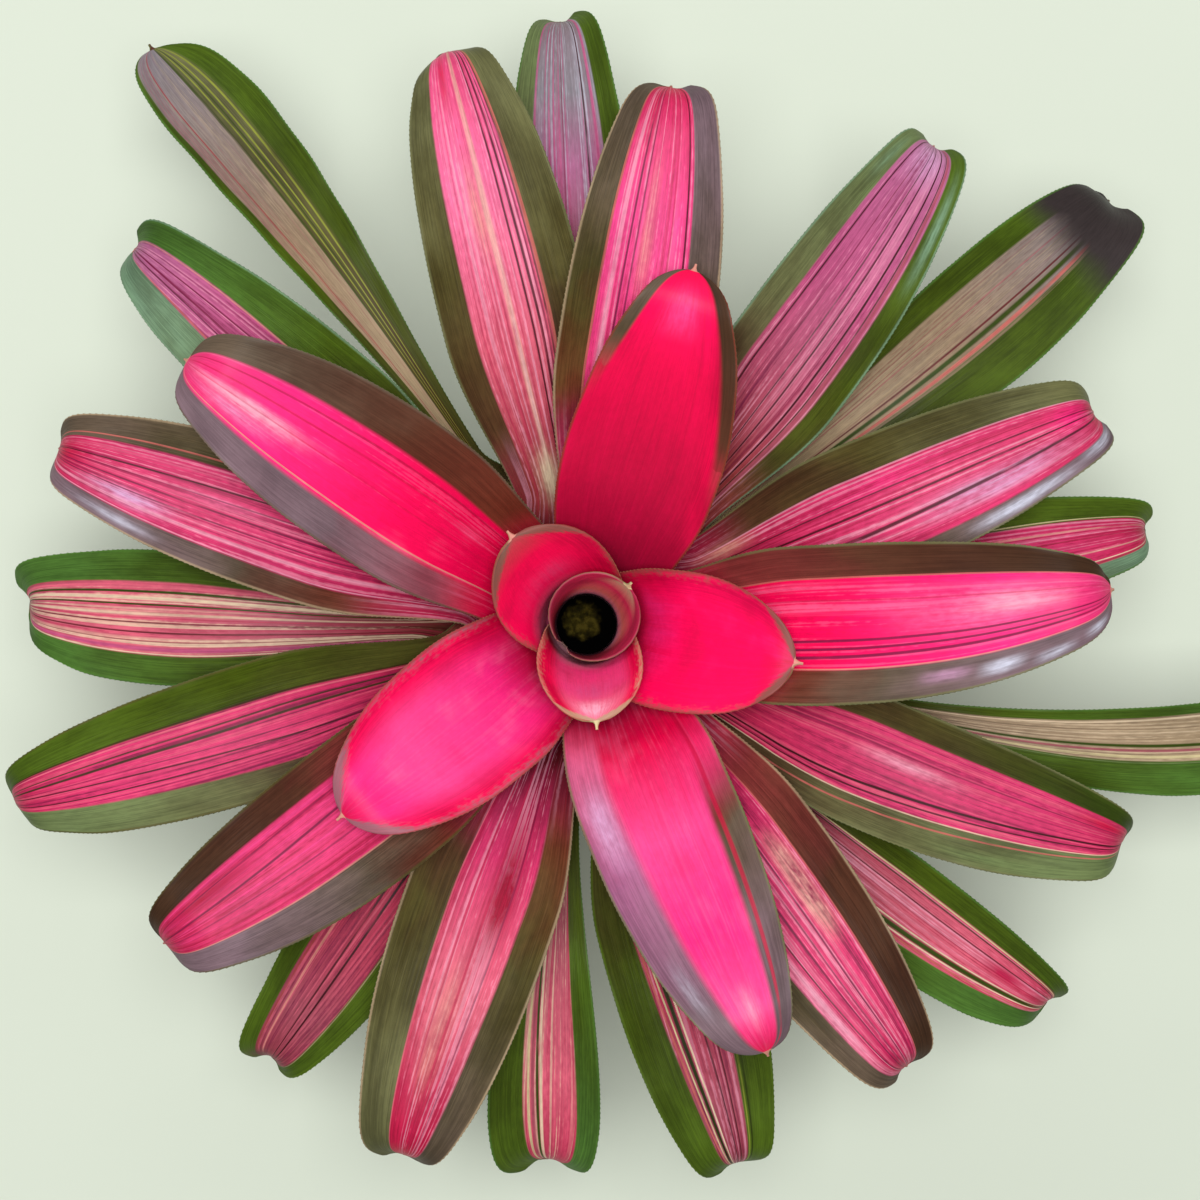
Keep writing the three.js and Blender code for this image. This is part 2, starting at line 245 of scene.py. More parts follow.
def vertexPlaces(mesh):
    places = np.zeros(len(mesh.vertices) * 3)
    mesh.vertices.foreach_get("co", places)
    return places.reshape(-1, 3)


# how the leaves stand on the stem, and how their form changes from 1, the youngest, to 30, the oldest
rosette = {
    "lowestBase": 0.1046,
    "basePitch": 0.0016,
    "stemRadius": [(0.101, 0.012), (0.152, 0.007)],
    "seatGap": 0.0003,
    "waistRadius": [(1, 0.0114), (2, 0.0138), (3, 0.0156), (30, 0.052)],
    "baseAngle": [(1, 12), (4, 12), (30, 4)],
    "waistAngle": [(1, 88), (3, 84), (6, 68), (12, 56), (30, 40)],
    "upright": [(1, 0.020), (2, 0.020), (3, 0.017), (4, 0.009), (5, 0.002), (6, 0)],
    "tipAngle": [(1, 60), (2, 40), (4, 26), (6, 20), (8, 12), (10, 4), (14, -4), (22, -12), (30, -18)],
    "wrap": [(1, 172), (2, 105), (3, 92), (4, 80), (5, 66)],
    "channel": [(1, 0), (4, 0.0015), (6, 0.004), (9, 0.0065), (30, 0.006)],
    "columns": [(1, 56), (2, 32), (3, 32), (4, 24), (5, 16)],
}

# the form that all leaves share; spans and places run from 0 at the waist to 1 at the tip
form = {
    "thickness": 0.0009, "marginShare": 0.45, "widest": 0.47, "neckAt": 0.14, "broadensFrom": 0.1,
    "taper": 2.3, "narrowPower": 1.5, "channelPower": 2.2, "channelSpan": (0.05, 0.4),
    "curlStart": 0.87, "bendPower": 1.8, "rollSpan": (0.1, 0.8),
    "earsSpan": (0.8, 0.96), "earsFade": (0.985, 1), "earsNarrowPower": 0.45,
    "waveHeight": 0.0006, "waveLength": 0.031, "waveShift": 1.7, "wavePower": 4, "waveSpan": (0.1, 0.5),
    "spineLength": 0.0032, "spineHalfWidth": 0.0011, "spineFrom": 1.02, "spineLeast": 0.1, "spinePower": 2.4,
    "toothPitch": 0.0019, "toothHeight": 0.00022, "toothRows": [(0, 0), (0.3, 1), (0.46, 0)],
    "toothLean": 0.0003, "teethFrom": 0.8, "teethGrowOver": 4, "teethShrinkOver": 3,
    "steps": 240, "sheathRows": 9, "spineRows": (0.12, 0.4, 0.7, 1),
    "tipRows": (0.0030, 0.0022, 0.0014, 0.0008, 0.0004, 0),
    "marginColumns": (0.9, 0.965, 1), "sharpAngle": 60,
}


def midribOf(leaf, rank):
    # evenly spaced stations along the midrib: distance from the axis, height and angle of rise
    baseZ = rosette["lowestBase"] + (30 - rank) * rosette["basePitch"]
    baseR = along(rosette["stemRadius"], baseZ) + rosette["seatGap"] + form["thickness"] / 4
    waistR = along(rosette["waistRadius"], rank)
    angles = (math.radians(along(rosette[key], rank)) for key in ("baseAngle", "waistAngle", "tipAngle"))
    baseAngle, waistAngle, tipAngle = angles
    upright = along(rosette["upright"], rank)
    sheath = (waistR - baseR) * (waistAngle - baseAngle) / (math.sin(waistAngle) - math.sin(baseAngle))
    curl = math.radians(leaf["curl"])

    def bladeAngle(q):
        bend = 1 - (1 - q) ** form["bendPower"]
        return waistAngle + (tipAngle - waistAngle) * bend - curl * smooth(q, form["curlStart"], 1)

    steps = form["steps"]
    middles = (np.arange(steps) + 0.5) / steps
    blade = (leaf["reach"] - waistR - upright * math.cos(waistAngle)) / np.cos(bladeAngle(middles)).mean()
    length = sheath + upright + blade

    def angleAt(s):
        inSheath = baseAngle + (waistAngle - baseAngle) * np.clip(s / sheath, 0, 1)
        return np.where(s < sheath, inSheath, bladeAngle(np.clip((s - sheath - upright) / blade, 0, 1)))

    s = np.linspace(0, length, steps + 1)
    step = angleAt((s[1:] + s[:-1]) / 2)
    r = baseR + np.concatenate([[0], np.cumsum(np.cos(step))]) * length / steps
    z = baseZ + np.concatenate([[0], np.cumsum(np.sin(step))]) * length / steps
    return {"s": s, "r": r, "z": z, "angle": angleAt(s), "waist": sheath + upright, "sheath": sheath,
            "blade": blade, "length": length}


def bladeHalfWidth(leaf, q):
    widest = leaf.get("widest", form["widest"])
    neck = 1 + (leaf["neck"] - 1) * smooth(q, 0, form["neckAt"])
    body = neck + (1 - neck) * smooth(q, form["broadensFrom"], widest)
    x = np.clip((q - widest) / (1 - widest), 0, 1)
    return leaf["width"] / 2 * body * np.sqrt(1 - x ** leaf.get("taper", form["taper"]))


def leafPoints(leaf, rank, midrib, s, v, tooth):
    # s along the leaf, v from -1 at its right margin to 1 at its left one, tooth outward from the margin
    past = np.maximum(s - midrib["length"], 0)
    r, z, angle = (np.interp(s, midrib["s"], midrib[key]) for key in ("r", "z", "angle"))
    r = r + past * np.cos(angle)
    z = z + past * np.sin(angle)
    q = np.clip((s - midrib["waist"]) / midrib["blade"], 0, 1)
    wrap = math.radians(along(rosette["wrap"], rank))
    half = np.minimum(r * wrap, bladeHalfWidth(leaf, q))
    left = np.clip(form["spineFrom"] - past / form["spineLength"], form["spineLeast"], 1)
    spine = form["spineHalfWidth"] * left ** form["spinePower"]
    half = np.where(past > 0, spine, np.maximum(half, form["spineHalfWidth"]))
    share = half / (leaf["width"] / 2)
    bow = np.abs(v) ** form["channelPower"]
    channel = along(rosette["channel"], rank) * smooth(q, *form["channelSpan"])
    turn = 2 * np.pi * s / form["waveLength"] + rank * form["waveShift"] + v
    wave = form["waveHeight"] * np.sin(turn) * v ** form["wavePower"]
    side = v * half + np.sign(v) * tooth
    rise = channel * share ** form["narrowPower"] * bow + wave * smooth(q, *form["waveSpan"])
    roll = math.radians(leaf.get("roll", 0)) * smooth(q, *form["rollSpan"])
    across = side * np.cos(roll) - rise * np.sin(roll)
    up = rise * np.cos(roll) + side * np.sin(roll)
    heading = np.radians(leaf["azimuth"] + leaf.get("sweep", 0) * q * q) + across / r
    leftEar, rightEar = (ear / 1000 for ear in leaf.get("ears", (0, 0)))
    earShare = smooth(q, *form["earsSpan"]) * (1 - smooth(q, *form["earsFade"]))
    flare = np.where(v > 0, leftEar, rightEar) * bow * earShare * share ** form["earsNarrowPower"]
    r = r - np.sin(angle) * up + flare
    return np.stack([r * np.cos(heading), r * np.sin(heading), z + np.cos(angle) * up], axis=-1)


def leafRows(midrib):
    # the rows' places along the leaf and how far each stands out as a tooth
    tip = midrib["length"]
    start = midrib["sheath"] * form["teethFrom"]
    end = tip - form["tipRows"][0]
    count = int((end - start) / form["toothPitch"])
    pitch = (end - start) / count
    rows = [(start * i / form["sheathRows"], 0) for i in range(form["sheathRows"])]
    for i in range(count):
        fade = min(1, i / form["teethGrowOver"], (count - i) / form["teethShrinkOver"])
        rows += [(start + (i + part) * pitch, size * fade) for part, size in form["toothRows"]]
    rows += [(tip - back, 0) for back in form["tipRows"]]
    rows += [(tip + form["spineLength"] * part, 0) for part in form["spineRows"]]
    return np.array(rows)


def columnPlaces(count):
    # evenly spaced columns, with two narrow ones beside each margin for the teeth
    last, narrow, margin = form["marginColumns"]
    return np.concatenate([[-margin, -narrow], np.linspace(-last, last, count - 3), [narrow, margin]])


def makeLeaf(leaf, rank):
    midrib = midribOf(leaf, rank)
    rows = leafRows(midrib)
    columns = columnPlaces(round(along(rosette["columns"], rank)))
    acrossCount = len(columns) - 1
    alongCount = len(rows) - 1
    bpy.ops.mesh.primitive_grid_add(x_subdivisions=acrossCount, y_subdivisions=alongCount, size=1)
    piece = bpy.context.object
    mesh = piece.data
    grid = vertexPlaces(mesh)
    column = np.rint((0.5 - grid[:, 0]) * acrossCount).astype(int)
    row = np.rint((grid[:, 1] + 0.5) * alongCount).astype(int)
    v = columns[column]
    margin = np.abs(v) > 0.99
    tooth = np.where(margin, rows[row, 1], 0)
    s = rows[row, 0] + tooth * form["toothLean"]
    points = leafPoints(leaf, rank, midrib, s, v, tooth * form["toothHeight"])
    mesh.vertices.foreach_set("co", points.ravel())

    corners = np.zeros(len(mesh.loops), int)
    mesh.loops.foreach_get("vertex_index", corners)
    leafMap = np.stack([(v + 1) / 2, np.clip(s / midrib["length"], 0, 1)], axis=-1)
    layer = mesh.uv_layers[0]
    layer.name = "leafMap"
    layer.data.foreach_set("uv", leafMap[corners].ravel())

    group = piece.vertex_groups.new(name="thickness")
    for wanted, weight in ((~margin, 1), (margin, form["marginShare"])):
        group.add(np.flatnonzero(wanted).tolist(), weight, "REPLACE")
    wall = piece.modifiers.new("wall", "SOLIDIFY")
    wall.thickness = form["thickness"]
    wall.offset = 0
    wall.vertex_group = "thickness"
    applyModifiers(piece)
    markUnderside(piece, len(points))
    bpy.ops.object.shade_smooth_by_angle(angle=math.radians(form["sharpAngle"]))
    return piece


def markUnderside(piece, sheetSize):
    # Solidify adds the second sheet after the first; the lower of the two is marked for its finish
    places = vertexPlaces(piece.data)
    secondIsLower = (places[sheetSize:, 2] - places[:sheetSize, 2]).mean() < 0
    under = np.repeat([float(not secondIsLower), float(secondIsLower)], sheetSize)
    marks = piece.data.attributes.new("underside", "FLOAT", "POINT")
    marks.data.foreach_set("value", under)


# the skin's noises: how often each repeats across and along the leaf, the shift of its seed and its detail
skinNoises = {
    "wander": (1.2, 3.2, 0, 1),
    "blotch": (1.6, 7, 2, 3),
    "broad": (6, 0.9, 3, 1),
    "fine": (22, 1.2, 5, 2),
    "hair": (75, 9, 7, 2),
    "speckle": (22, 60, 9, 2),
}

# a span is where a mask begins and where it is full
skin = {
    "wander": 0.05,
    "lightSpan": (0, 0.3), "lightThreads": (0.06, 0.13),
    "darkSpan": (-0.02, -0.3), "darkThreads": (-0.07, -0.14),
    "bandStart": 0.18, "bandNear": 0.12, "bandMiddle": 0.62, "bandFar": 0.9, "bandGrain": 0.03,
    "edgeMoves": (0.4, 1),
    "brokenSpan": (-0.3, -0.1),
    "tipEdgeSpan": (-0.16, 0.12), "tipEdge": 0.8,
    "scorchLength": 0.08,
    "rimSpan": (0.965, 0.99), "rim": 0.75,
    "spineSpan": (0.9975, 0.9995),
    "paleSpan": (0.14, 0.03), "pale": "sand",
    "grainSpan": (-0.3, 0.3), "bandShade": "#d0d0d0", "fullShade": "#ffffff",
    "under": 0.55, "underTone": "sage",
    "roughness": 0.42, "hairRoughness": 0.12, "underRoughness": 0.15,
    "relief": 0.0006,
}


class LeafFinish(Finish):
    # s runs along the leaf and v across it, from -1 to 1; each tone laid on covers those before it
    def __init__(self, name, seed):
        super().__init__(name, Specular_IOR_Level=0.1)
        self.seed = seed
        place = self.node("ShaderNodeUVMap", {"uv_map": "leafMap"}, {})
        self.s = self.part(place, 1)
        self.v = self.flat = self.part(place, 0) * 2 - 1
        self.v = self.flat + self.pattern("wander") * skin["wander"]
        self.blotch = self.pattern("blotch")
        self.broad = self.pattern("broad")
        self.fine = self.pattern("fine")
        self.hair = self.pattern("hair")
        self.grain = self.fine * 0.8 + self.hair * 0.5
        self.speckle = self.pattern("speckle")

    def pattern(self, kind):
        across, length, shift, detail = skinNoises[kind]
        return self.noise(self.vector(self.v * across, self.s * length, self.seed + shift), 1, detail) - 0.5

    def lay(self, mask, tones):
        self.colour = self.blend(mask, self.colour, tones)

    def edgeAt(self, middle, tip):
        if middle == tip:
            return middle
        return self.rise(self.s, *skin["edgeMoves"], "LINEAR") * (tip - middle) + middle

    def streaks(self, light, dark, lightAmount, darkAmount, blotchShare):
        thread = 1 - blotchShare
        streak = (self.broad + self.fine * 0.9) * thread + self.blotch * blotchShare * 1.4
        self.lay(self.rise(streak, *skin["lightSpan"]) * lightAmount, light)
        self.lay(self.rise(streak, *skin["darkSpan"]) * darkAmount, dark)
        for tones, amount, span in ((light, lightAmount, "lightThreads"), (dark, darkAmount, "darkThreads")):
            mask = self.rise(self.fine + self.speckle * 0.2, *skin[span])
            self.lay(mask * (amount * thread), tones)

    def band(self, side, tones, middle, tip, start=0.1, softness=0.02):
        offset = self.v * side - self.edgeAt(middle, tip) + self.grain * skin["bandGrain"]
        mask = self.rise(offset, -softness, softness)
        mask = mask * self.rise(self.s, start, start + skin["bandStart"])
        places = (start + skin["bandNear"], skin["bandMiddle"], skin["bandFar"])
        tones = self.ramp(self.s + self.blotch * 0.3, list(zip(places, marginTones[tones])))
        shade = self.rise(self.grain * 0.7 + self.blotch, *skin["grainSpan"])
        self.lay(mask, self.multiply(tones, self.blend(shade, skin["bandShade"], skin["fullShade"])))

    # a soft oval of tone: a tint of the leaf's own, or a painted highlight or sheen
    def patch(self, name, atS, atV, longS, wideV, amount=0.8):
        mask = self.rise(abs(self.s - atS), longS, 0) * self.rise(abs(self.v - atV), wideV, 0)
        self.lay(mask * amount * self.ragged, name)

    def line(self, name, middle, tip, halfWidth=0.014, amount=0.9):
        offset = self.v - self.edgeAt(middle, tip)
        mask = self.rise(abs(offset), halfWidth * 1.5, halfWidth * 0.5)
        self.lay(mask * amount * self.broken, name)

    def tipEdge(self, name, start, depth):
        edge = 1 - self.rise(self.s, start, 1, "LINEAR") * depth
        mottle = self.blotch * 0.3 + self.speckle * 0.4
        self.lay(self.rise(abs(self.v) - edge + mottle, *skin["tipEdgeSpan"]) * skin["tipEdge"], name)


def leafFinish(name, look, seed):
    finish = LeafFinish(name, seed)
    finish.colour = finish.ramp(finish.s, coreTones[look["core"]])
    finish.streaks(*look["streaks"])
    finish.ragged = finish.broad * 1.6 + finish.fine * 1.5 + finish.blotch * 2 + finish.speckle + 0.9
    for patch in look.get("patches", []):
        finish.patch(*patch)
    finish.broken = finish.rise(finish.blotch + finish.hair * 0.4, *skin["brokenSpan"])
    for line in look.get("lines", []):
        finish.line(*line)
    for band in look["bands"]:
        finish.band(*band)
    for line in look.get("edgeLines", []):
        finish.line(*line)
    if "tipEdge" in look:
        finish.tipEdge(*look["tipEdge"])
    # painted highlights: the sheens are the window lamp's reflection on up-tilted margins, laid on as
    # colour; leaf 23's one sheen is a dark spot of its own
    for patch in look.get("sheens", []):
        finish.patch(*patch)
    # the tip turns near black from this place along the leaf
    if "scorch" in look:
        darkFrom = look["scorch"]
        finish.lay(finish.rise(finish.s + finish.blotch * 0.06, darkFrom, darkFrom + skin["scorchLength"]), "soot")
    finish.lay(finish.rise(abs(finish.flat), *skin["rimSpan"]) * skin["rim"], look["rim"])
    finish.lay(finish.rise(finish.s, *skin["spineSpan"]), look["spine"])
    finish.lay(finish.rise(finish.s, *skin["paleSpan"]), skin["pale"])
    shade = finish.rise(finish.hair + finish.blotch * 0.5 + finish.speckle * 0.6, *skin["grainSpan"])
    colour = finish.multiply(finish.colour, finish.blend(shade, look["grain"], skin["fullShade"]))
    under = finish.node("ShaderNodeAttribute", {"attribute_name": "underside"}, {}, 2)
    colour = finish.blend(under, colour, finish.blend(skin["under"], colour, skin["underTone"]))
    roughness = skin["roughness"] + finish.hair * skin["hairRoughness"] + under * skin["underRoughness"]
    finish.wear(Base_Color=colour, Roughness=roughness)
    finish.bump(finish.fine * 0.5 + finish.hair * 0.35 + finish.broad, skin["relief"], look["ridges"])
    return finish


# what leaves of one kind share
redLook = {"streaks": ("magenta", "cherry", 0.25, 0.3, 0.8), "rim": "brick", "spine": "peach",
           "ridges": 0.06, "grain": "#f0f0f0"}
pinkLook = {"streaks": ("bubblegum", "scarlet", 0.4, 0.3, 0.55), "rim": "mocha", "spine": "peach",
            "ridges": 0.15, "grain": "#e8e8e8"}
stripedLook = {"rim": "olive", "spine": "salmon", "ridges": 0.35, "grain": "#d8d8d8"}
greenLook = {"rim": "fern", "spine": "umber", "ridges": 0.35, "grain": "#d8d8d8"}


def leafOf(kind, core, azimuth, reach, width, neck, curl, **look):
    # angles are in degrees, lengths in millimetres, and the neck is a share of the width
    blade = {"azimuth": azimuth, "reach": reach / 1000, "width": width / 1000, "neck": neck, "curl": curl}
    return {**kind, "core": core, **blade, **look}


# ears: how far the left and right halves of the tip stand out, in millimetres
# streaks: light and dark tone, how much of each, and from long streaks (0) to blotches (1)
# bands: left margin (1) or right (-1), tones, where the edge lies across at mid length and at the tip,
#     where along the leaf it starts, and how soft it is
# lines, and edgeLines over the bands: tone, place across at mid length and at the tip, half width, amount
# patches, and sheens over the bands: tone, place along and across, half length, half width, amount; the
# sheens are painted highlights, and so are a few patches
# tipEdge: tone, where along the leaf it starts, how far in it comes
leaves = [
    leafOf(redLook, "tube", 43, 20.5, 70, 1, 0, widest=0.1, taper=1.1,
        streaks=("salmon", "maroon", 0.25, 0.3, 0.6), rim="dustyRose", spine="bone",
        bands=[(1, "blood", 0.45, 0.5, 0.3, 0.15), (-1, "blood", 0.5, 0.55, 0.3, 0.15)]),
    # leaf 2's pale petal patch near the tip is a painted highlight
    leafOf(redLook, "lobe", -84, 34.6, 47, 1, 25, widest=0.42, tipEdge=("sand", 0.93, 1), rim="salmon",
        spine="bone", patches=[("petal", 0.93, 0, 0.08, 0.6, 0.9), ("orchid", 0.8, 0, 0.1, 0.7, 0.4)],
        bands=[(1, "flame", 0.55, 0.7, 0.2, 0.16), (-1, "flame", 0.6, 0.6, 0.2, 0.16)]),
    leafOf(redLook, "ember", 130, 41, 59, 1, 25, widest=0.35,
        streaks=("scarlet", "cherry", 0.3, 0.35, 0.85), tipEdge=("mocha", 0.86, 0.8),
        bands=[(-1, "flame", 0.45, 0.4, 0.2, 0.3)], patches=[("orchid", 0.66, 0, 0.14, 0.8, 0.25)]),
    leafOf(redLook, "hot", -10, 75, 57, 0.94, 25, widest=0.4,
        streaks=("magenta", "crimson", 0.3, 0.3, 0.85), tipEdge=("mocha", 0.9, 0.7),
        bands=[(1, "fire", 0.7, 0.65, 0.3, 0.2)], patches=[("magenta", 0.42, 0, 0.16, 0.9, 0.5)]),
    leafOf(redLook, "candy", -142, 108, 61, 0.8, 42, widest=0.48,
        streaks=("bubblegum", "hotPink", 0.4, 0.35, 0.8), tipEdge=("heather", 0.88, 0.62),
        bands=[(1, "fire", 0.72, 0.62, 0.25, 0.24), (-1, "fire", 0.6, 0.62, 0.2, 0.24)]),
    leafOf(redLook, "deep", 70, 130, 61, 0.75, 52, sweep=3, taper=2,
        streaks=("hotPink", "cherry", 0.15, 0.35, 0.6), rim="rust",
        patches=[("candy", 0.9, 0.05, 0.08, 0.5, 0.6)],
        bands=[(-1, "flame", 0.7, 0.6, 0.3, 0.14), (1, "tan", 1.05, 0.68, 0.66, 0.04),
            (-1, "brown", 0.98, 0.6, 0.5, 0.06)]),
    leafOf(pinkLook, "glow", -69, 161, 59, 0.74, 62, sweep=2, widest=0.4,
        streaks=("bubblegum", "hotPink", 0.3, 0.3, 0.7), rim="khaki",
        bands=[(1, "cocoa", 0.6, 0.56, 0.4, 0.05), (-1, "mauve", 0.5, 0.36, 0.22, 0.1)],
        sheens=[("lilac", 0.5, -0.72, 0.12, 0.3), ("mist", 0.84, -0.7, 0.08, 0.2, 0.3),
            ("petal", 0.9, 0.1, 0.06, 0.3, 0.4)], edgeLines=[("crimson", 0.7, 0.7, 0.03, 0.7)]),
    leafOf(pinkLook, "flare", 144.9, 168, 61, 0.7, 68, sweep=1.5,
        patches=[("petal", 0.84, 0.12, 0.16, 0.18, 1), ("lilac", 0.86, 0.32, 0.12, 0.14, 0.5)],
        bands=[(1, "dusk", 0.56, 0.54, 0.22, 0.04), (-1, "hide", 0.46, 0.46, 0.16, 0.03)],
        lines=[("crimson", -0.18, -0.12, 0.014, 0.6), ("cherry", -0.36, -0.3, 0.014, 0.6),
            ("crimson", 0.1, 0.08, 0.012, 0.4)], edgeLines=[("peach", 0.52, 0.48, 0.01, 0.8)]),
    leafOf(pinkLook, "flare", -1.1, 185.5, 60, 0.68, 68, sweep=5, widest=0.4, ears=(-4, 1),
        streaks=("bubblegum", "crimson", 0.4, 0.35, 0.3), rim="khaki",
        patches=[("bubblegum", 0.76, 0.1, 0.2, 0.45), ("petal", 0.82, 0.15, 0.12, 0.25, 0.7)],
        bands=[(1, "brown", 0.57, 0.57, 0.17, 0.02), (-1, "cocoa", 0.55, 0.55, 0.3, 0.02)],
        lines=[("plum", -0.2, -0.15, 0.016), ("plum", -0.3, -0.24, 0.016), ("plum", -0.4, -0.33, 0.02),
            ("carmine", 0.3, 0.26, 0.012, 0.5)],
        edgeLines=[("salmon", 0.57, 0.57, 0.01), ("peach", -0.54, -0.54, 0.01, 0.7)],
        sheens=[("mist", 0.8, -0.78, 0.05, 0.16, 0.9), ("mist", 0.88, -0.86, 0.04, 0.14, 0.9),
            ("mist", 0.95, -0.8, 0.03, 0.16), ("lilac", 0.71, -0.75, 0.06, 0.14, 0.4)]),
    leafOf(stripedLook, "berry", -139, 188, 57, 0.64, 72, sweep=-4, ears=(0.5, 0),
        streaks=("candy", "cherry", 0.45, 0.5, 0.2), patches=[("cherry", 0.86, -0.36, 0.16, 0.22)],
        bands=[(1, "cocoa", 0.46, 0.46, 0.35), (-1, "brown", 0.6, 0.58, 0.35)],
        lines=[("plum", -0.32, -0.1, 0.016), ("plum", -0.5, -0.4, 0.012, 0.6),
            ("plum", 0.1, 0.1, 0.012, 0.6)], edgeLines=[("peach", 0.46, 0.46, 0.01, 0.7)]),
    leafOf(stripedLook, "pink", 80, 195, 56, 0.6, 72, sweep=1, ears=(1, 5),
        streaks=("petal", "carmine", 0.45, 0.45, 0.1), rim="sand",
        patches=[("peach", 0.73, 0.05, 0.16, 0.14, 0.6), ("crimson", 0.93, 0.3, 0.1, 0.14, 0.7)],
        bands=[(1, "tan", 0.6, 0.56, 0.3), (-1, "cocoa", 0.55, 0.55)],
        lines=[("petal", 0.44, 0.42, 0.03, 0.7), ("plum", 0.32, 0.27), ("plum", 0.22, 0.17, 0.012, 0.8),
            ("carmine", -0.28, -0.26, 0.012, 0.6), ("inkRed", -0.5, -0.46)],
        edgeLines=[("salmon", 0.61, 0.57)]),
    # leaf 12's petal patch on its right margin is a painted sheen
    leafOf(stripedLook, "berry", -54, 196.5, 54, 0.58, 72, ears=(1.5, 5),
        streaks=("petal", "plum", 0.45, 0.5, 0.1), rim="sand",
        patches=[("cream", 0.62, 0.3, 0.13, 0.2, 1), ("petal", 0.8, -0.5, 0.14, 0.14)],
        bands=[(1, "brown", 0.5, 0.5, 0.25), (-1, "tan", 0.62, 0.62)],
        lines=[("plum", 0.1, 0.08), ("plum", -0.06, -0.05, 0.012, 0.8), ("plum", -0.2, -0.15),
            ("inkRed", -0.4, -0.34, 0.012, 0.8)], edgeLines=[("salmon", 0.5, 0.5, 0.01, 0.8)]),
    # leaf 13's lilac patch near its tip is a painted sheen
    leafOf(stripedLook, "berry", 161.5, 201.5, 52, 0.56, 72, ears=(1, 2),
        streaks=("petal", "plum", 0.45, 0.5, 0.1), rim="sand",
        patches=[("lilac", 0.83, 0.42, 0.11, 0.24, 1), ("bubblegum", 0.68, 0, 0.1, 0.12, 0.7),
            ("crimson", 0.95, 0, 0.06, 0.5, 0.7)],
        bands=[(1, "cocoa", 0.7, 0.66, 0.3), (-1, "tan", 0.45, 0.5)],
        lines=[("petal", 0.5, 0.5, 0.03, 0.6), ("inkRed", -0.25, -0.1), ("plum", 0.15, 0.14),
            ("plum", 0.3, 0.3, 0.012, 0.8), ("plum", -0.06, 0.02, 0.01, 0.7)],
        edgeLines=[("salmon", -0.56, -0.6, 0.014, 0.8), ("petal", 0.68, 0.64, 0.01, 0.7)],
        sheens=[("mist", 0.84, 0.84, 0.1, 0.12, 0.5)]),
    leafOf(stripedLook, "berry", 21.8, 200.5, 52, 0.56, 72, sweep=1, ears=(1, 5.5),
        streaks=("petal", "cherry", 0.5, 0.5, 0.1), rim="khaki",
        patches=[("peach", 0.28, 0.4, 0.1, 0.3), ("lilac", 0.78, -0.35, 0.2, 0.32),
            ("magenta", 0.6, 0.3, 0.2, 0.2, 0.5), ("magenta", 0.92, 0.1, 0.07, 0.5, 0.6)],
        bands=[(1, "olive", 0.5, 0.5, 0.2), (-1, "cocoa", 0.7, 0.7)],
        lines=[("inkRed", 0, 0, 0.016), ("inkRed", -0.35, -0.22, 0.026), ("inkRed", 0.2, 0.18, 0.012, 0.8)],
        edgeLines=[("petal", 0.5, 0.5, 0.012, 0.6)],
        sheens=[("mist", 0.8, -0.86, 0.12, 0.14, 0.9), ("mist", 0.94, -0.8, 0.05, 0.16, 0.9)]),
    leafOf(stripedLook, "ripe", -111, 205, 57, 0.56, 72, sweep=2, ears=(0, 5),
        streaks=("petal", "cherry", 0.5, 0.45, 0.12), rim="sand",
        patches=[("cherry", 0.5, 0.25, 0.17, 0.3, 1), ("peach", 0.74, 0, 0.16, 0.26, 0.7)],
        bands=[(1, "tan", 0.58, 0.48, 0.24), (-1, "olive", 0.4, 0.4, 0.3)],
        lines=[("carmine", 0.1, 0.08, 0.014, 0.7), ("carmine", -0.15, -0.12, 0.014, 0.7),
            ("plum", 0.36, 0.3, 0.012, 0.6)],
        edgeLines=[("coral", -0.4, -0.4, 0.01, 0.6), ("dustyRose", 0.58, 0.48, 0.01, 0.6)]),
    leafOf(stripedLook, "blushed", 102.6, 216, 55, 0.54, 72, sweep=1, ears=(-7, -1.5),
        streaks=("petal", "carmine", 0.5, 0.45, 0.1), rim="khaki",
        patches=[("cream", 0.26, 0.1, 0.08, 0.4, 0.9), ("peach", 0.7, 0.15, 0.12, 0.2, 0.6),
            ("crimson", 0.92, 0.3, 0.08, 0.14, 0.7)],
        bands=[(1, "olive", 0.6, 0.6, 0.2), (-1, "olive", 0.45, 0.4, 0.25)],
        lines=[("cream", 0.05, 0.05, 0.04, 0.4), ("inkRed", -0.2, -0.18), ("inkRed", -0.31, -0.27, 0.018),
            ("plum", -0.38, -0.34, 0.012, 0.8)],
        edgeLines=[("salmon", -0.46, -0.44, 0.02), ("walnut", -0.42, -0.4, 0.012, 0.8)]),
    leafOf(stripedLook, "berry", -27, 213, 49, 0.54, 72, sweep=5, ears=(1, 1),
        streaks=("coral", "plum", 0.4, 0.5, 0.12), rim="khaki",
        patches=[("petal", 0.6, 0.15, 0.12, 0.16), ("crimson", 0.92, 0.4, 0.08, 0.2, 0.7)],
        bands=[(1, "dark", 0.6, 0.6), (-1, "moss", 0.6, 0.34)],
        lines=[("inkRed", -0.4, -0.05, 0.02, 1), ("inkRed", -0.5, -0.16), ("plum", 0.3, 0.3, 0.012, 0.7)],
        edgeLines=[("salmon", -0.76, -0.42), ("cream", -0.6, -0.33, 0.01, 0.8)],
        sheens=[("sage", 0.78, -0.82, 0.12, 0.14)]),
    leafOf(stripedLook, "berry", -162, 221, 50, 0.52, 68, sweep=-1, ears=(-5.5, 0),
        streaks=("coral", "plum", 0.35, 0.6, 0.1),
        bands=[(1, "moss", 0.62, 0.42, 0.3), (-1, "green", 0.42, 0.46)],
        lines=[("inkRed", 0.35, 0.3), ("inkRed", 0.25, 0.05), ("walnut", -0.15, -0.12, 0.022, 1),
            ("walnut", -0.26, -0.24), ("plum", 0.1, -0.02, 0.01, 0.7)],
